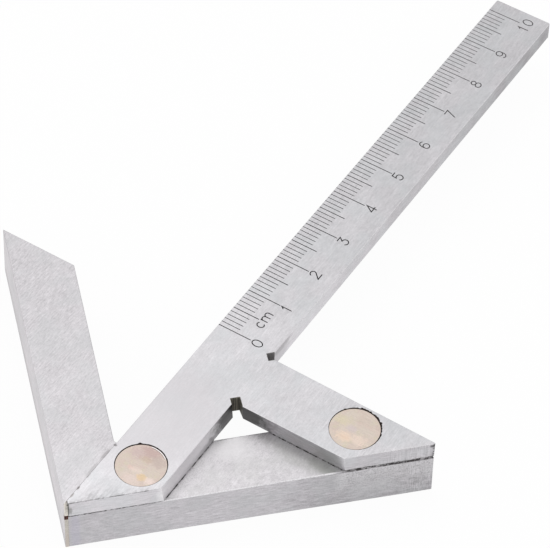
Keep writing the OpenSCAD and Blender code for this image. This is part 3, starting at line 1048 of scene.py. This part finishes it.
pitRust = darkFill({"name": "pitRust", "dark": (70, 40, 36), "light": (122, 88, 80), "grain": (0.25, 0.25, 0.25)})


# Each row is the mitre's small triangle with its front face set back by the row's depth.
def makeBraze():
    b, e = stock["blunt"], brazing["edge"]
    (low, high), deep = brazing["pit"], brazing["pitDepth"]
    profile = np.array([(e, 0), (0, e), (0, low), (deep * 0.7, low + 0.15), (deep, (low + high) / 2),
                        (deep * 0.7, high - 0.15), (0, high), (0, topZ - e), (e, topZ)])
    rows = []
    for depth, z in profile:
        outline = roundCorners(legPoint([depth, b, b], np.array([depth, depth, b])), 0.03, 3).reshape(-1, 2)
        rows.append(atHeight(outline, z))
    shell = Shell()
    shell.addRows(np.array(rows), np.repeat([0, 0, 2, 2, 2, 2, 1, 1], len(rows[0])))
    shell.addEnd(rows[0], -1)
    shell.addEnd(rows[-1], 1, 1)

    def wear(p):  # the seam between the strip and the blade's point is dark
        return 1.2 * near(inLeg(p)[0] - b, 0.12) * (p[:, 2] > high)

    shell.finish("cornerBraze", [], "stock_steel", [brazeMetal, stripMetal, pitRust], wear)


makeLeftLeg()
makeRightLeg()
makeBlade()
rose, straw, amber, mauve = (222, 186, 178), (216, 206, 180), (218, 192, 154), (204, 190, 196)
makeRivet("cornerRivet", "corner_rivet", {
    "name": "cornerRivetBrass", "pale": (206, 194, 184), "pink": (205, 189, 180), "straw": (204, 195, 177),
    "patches": [((5.9, -58.5), (2.6, 1.7), 0.9, (190, 168, 163)), ((8.1, -59.6), (1.9, 1.5), 0.75, (190, 175, 168)),
               ((3.9, -59.9), (1.9, 1.4), 0.75, (197, 177, 174)), ((4.6, -63.2), (1.1, 0.5), 0.4, rose),
               ((6.1, -65.3), (2.3, 1.4), 0.7, (217, 201, 194)), ((6.0, -60.3), (1.5, 0.8), 0.7, (193, 174, 160)),
               ((9.0, -64.0), (1.3, 1.0), 0.7, (229, 212, 205)), ((5.9, -63.2), (1.5, 0.8), 0.5, (226, 212, 202)),
               ((7.43, -64.07), (1.1, 0.95), 0.7, amber)],
})
makeRivet("armRivet", "arm_rivet", {
    "name": "armRivetBrass", "pale": (214, 202, 191), "pink": (212, 196, 186), "straw": (211, 201, 182),
    "patches": [((30.1, -33.6), (1.9, 1.3), 0.6, straw), ((32.5, -34.4), (1.2, 0.9), 0.4, mauve),
               ((32.2, -36.6), (2.2, 1.4), 0.8, (231, 211, 193)), ((32.5, -36.7), (1.1, 0.7), 0.4, (232, 204, 182)),
               ((35.0, -36.0), (2.0, 1.4), 0.75, (230, 212, 199)), ((33.4, -31.6), (1.6, 1.0), 0.5, (206, 191, 180))],
})
makeBraze()
print("pieces made")


# Floor, light and camera

studio = {  # sizes in metres
    "floorSize": 6,
    "floorDrop": 0.00002,  # the floor lies this far below the stock
    "floorColour": 0.97,
    "floorGlow": 0.95,  # share of plain white in what camera, glossy and transmission rays see of the floor
    "softboxAt": (-0.3, 0.12, 0.8),
    "softboxSize": 0.5,
    "softboxPower": 1.0,
    "skyStrength": 0.82,
}


# The floor looks white to the camera and in the steel, and keeps a faint shadow from the share that is lit.
def floorMaterial():
    material, tree, shader = newMaterial("floorWhite")
    feed(tree, shader, {"Base Color": (studio["floorColour"],) * 3 + (1,), "Roughness": 0.9, "Specular IOR Level": 0})
    rays = addNode(tree, "ShaderNodeLightPath").outputs
    seen = rays["Is Camera Ray"]
    for kind in ("Is Glossy Ray", "Is Transmission Ray"):
        seen = calculate(tree, "MAXIMUM", seen, rays[kind])
    share = product(tree, seen, studio["floorGlow"])
    glow = addNode(tree, "ShaderNodeEmission", {"Color": (1, 1, 1, 1), "Strength": 1})
    mix = addNode(tree, "ShaderNodeMixShader", {0: share, 1: shader.outputs[0], 2: glow.outputs[0]})
    feed(tree, tree.nodes["Material Output"], {"Surface": mix.outputs[0]})
    return material


def makeStudio():
    size = studio["floorSize"]
    mesh = bpy.data.meshes.new("floor")
    ends = np.array([[-1, -1, 0], [1, -1, 0], [1, 1, 0], [-1, 1, 0]]) * size / 2
    mesh.from_pydata(ends - [0, 0, studio["floorDrop"]], [], [[0, 1, 2, 3]])
    floor = addObject("floor", mesh)
    mesh.materials.append(floorMaterial())

    world = bpy.data.worlds.new("studioSky")
    world.use_nodes = True
    sky = world.node_tree
    feed(sky, sky.nodes["Background"], {"Color": (1, 1, 1, 1), "Strength": studio["skyStrength"]})
    bpy.context.scene.world = world

    lamp = bpy.data.lights.new("softbox", "AREA")
    lamp.shape, lamp.size, lamp.energy = "SQUARE", studio["softboxSize"], studio["softboxPower"]
    softbox = addObject("softbox", lamp)
    softbox.location = studio["softboxAt"]
    softbox.rotation_euler = (-Vector(studio["softboxAt"])).to_track_quat("-Z", "Y").to_euler()


view = {
    "cameraAt": (0.18968, -0.32769, 0.43100),
    "cameraTurn": (41.3389, -1.4553, 32.3720),  # degrees about X, Y and Z
    "lens": 196.65,
    "sensor": 36,
    "clip": (0.01, 20),  # nearest and farthest seen, in metres
}


def makeCamera():
    data = bpy.data.cameras.new("camera")
    data.sensor_width, data.lens = view["sensor"], view["lens"]
    data.clip_start, data.clip_end = view["clip"]
    camera = addObject("camera", data)
    camera.location = view["cameraAt"]
    camera.rotation_euler = Euler([radians(a) for a in view["cameraTurn"]])
    bpy.context.scene.camera = camera


makeStudio()
makeCamera()
bpy.context.scene.view_settings.view_transform = "Standard"
print("studio and camera ready")
